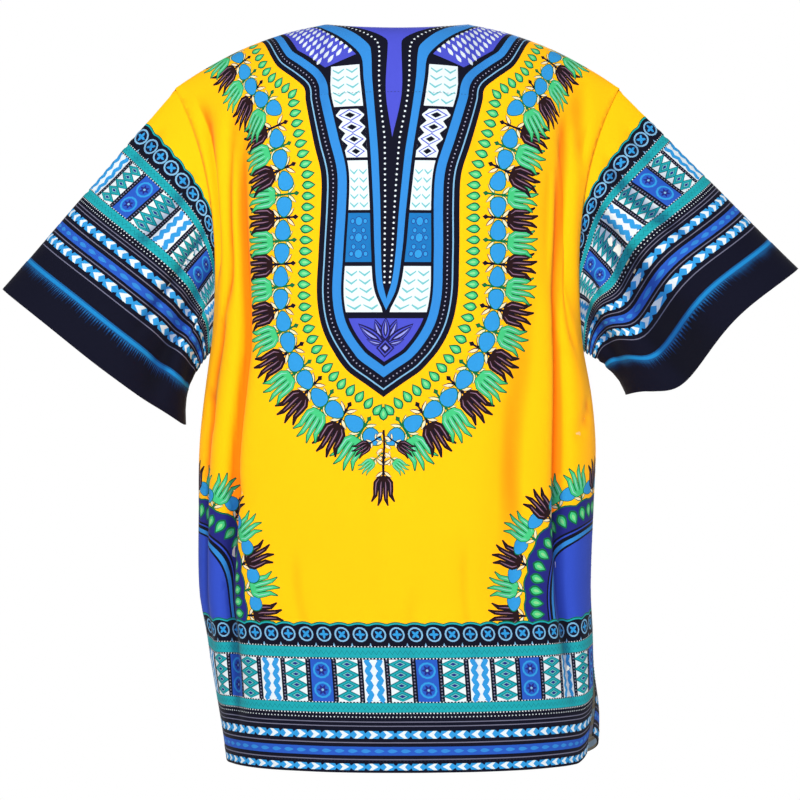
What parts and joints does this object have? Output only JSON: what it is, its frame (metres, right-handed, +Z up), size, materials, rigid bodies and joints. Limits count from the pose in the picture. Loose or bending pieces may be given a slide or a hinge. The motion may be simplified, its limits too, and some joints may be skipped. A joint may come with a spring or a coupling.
{
  "type": "dashiki shirt",
  "caption": "Loose short-sleeved pull-on dashiki shirt of printed cotton, filled out as worn, with side slits at the hem and a slit neck in front.",
  "frame": {"origin": "base of the neck, midway between the neck ends of the two shoulder seams, where the wearer's shoulders hold the shirt up", "axes": "+Z up; -Y is the shirt's back and +Y its front; +X is the side that lies on the right when the back is looked at"},
  "size_m": [0.8101, 0.2294, 0.7468],
  "materials": {
    "panel_cotton": "plain-weave cotton, printed, matt with a slight sheen",
    "sleeve_cotton": "plain-weave cotton, printed, matt with a slight sheen"
  },
  "bodies": {
    "root": {"back": "panel_cotton", "front": "panel_cotton", "sleeve_left": "sleeve_cotton", "sleeve_right": "sleeve_cotton"}
  },
  "joints": []
}
